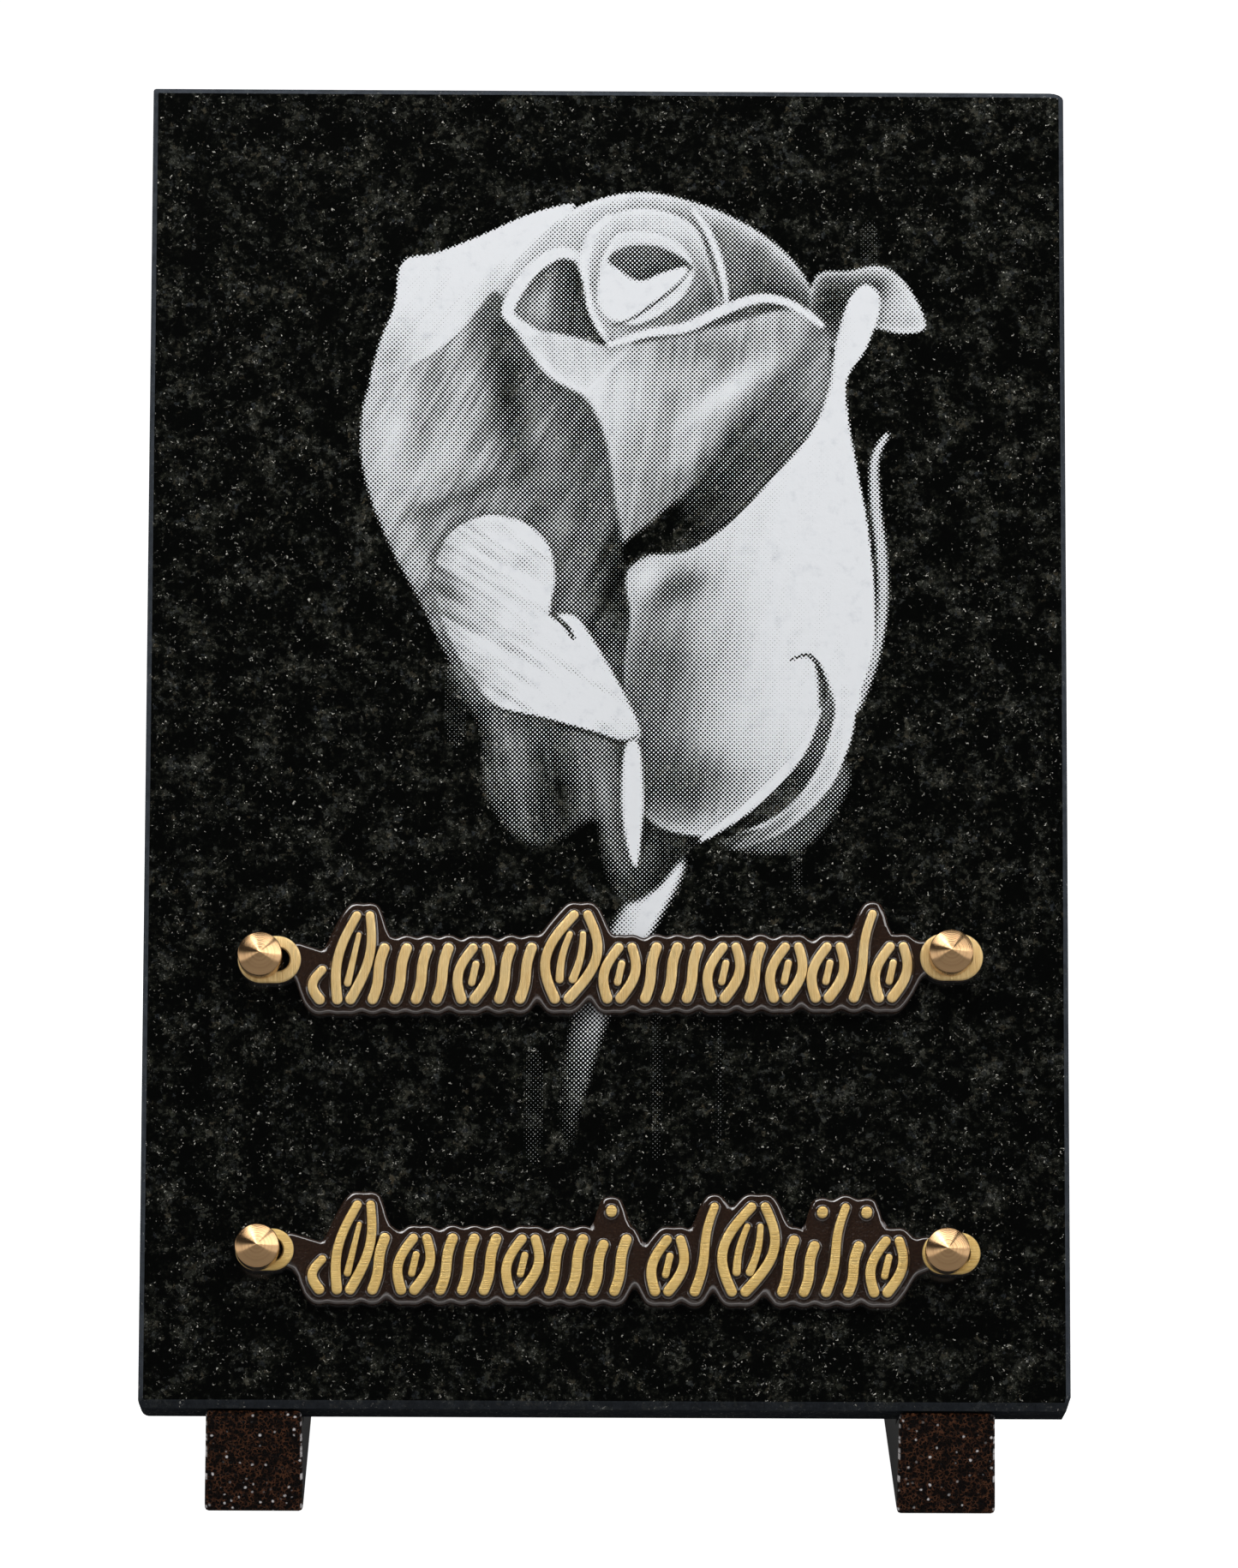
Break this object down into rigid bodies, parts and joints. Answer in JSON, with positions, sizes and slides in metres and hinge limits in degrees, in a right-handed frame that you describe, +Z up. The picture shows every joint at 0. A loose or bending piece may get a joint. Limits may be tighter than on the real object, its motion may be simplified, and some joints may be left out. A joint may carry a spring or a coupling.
{
  "type": "granite memorial plaque",
  "caption": "Leaning polished granite memorial plaque with a dot-screen rose, cast inscription strips held by turned cap screws, and cast feet.",
  "frame": {"origin": "on the floor, under the middle of the part's bounding box", "axes": "+Z up, the polished face looks towards -Y and leans back towards +Y, +X to the right seen from the front"},
  "size_m": [0.22, 0.135, 0.323],
  "materials": {
    "granite": "polished black granite with an etched white dot-screen rose",
    "bronze": "cast, dark brown patina on the ground, brushed bare strokes and lugs",
    "brass": "turned, with fine concentric tool lines",
    "hammered_paint": "glossy hammered black with fine copper veins"
  },
  "bodies": {
    "root": {"granite_slab": "granite", "upper_inscription_strip": "bronze", "lower_inscription_strip": "bronze", "cap_screw_upper_left": "brass", "cap_screw_upper_right": "brass", "cap_screw_lower_left": "brass", "cap_screw_lower_right": "brass", "foot_left": "hammered_paint", "foot_right": "hammered_paint"}
  },
  "joints": []
}
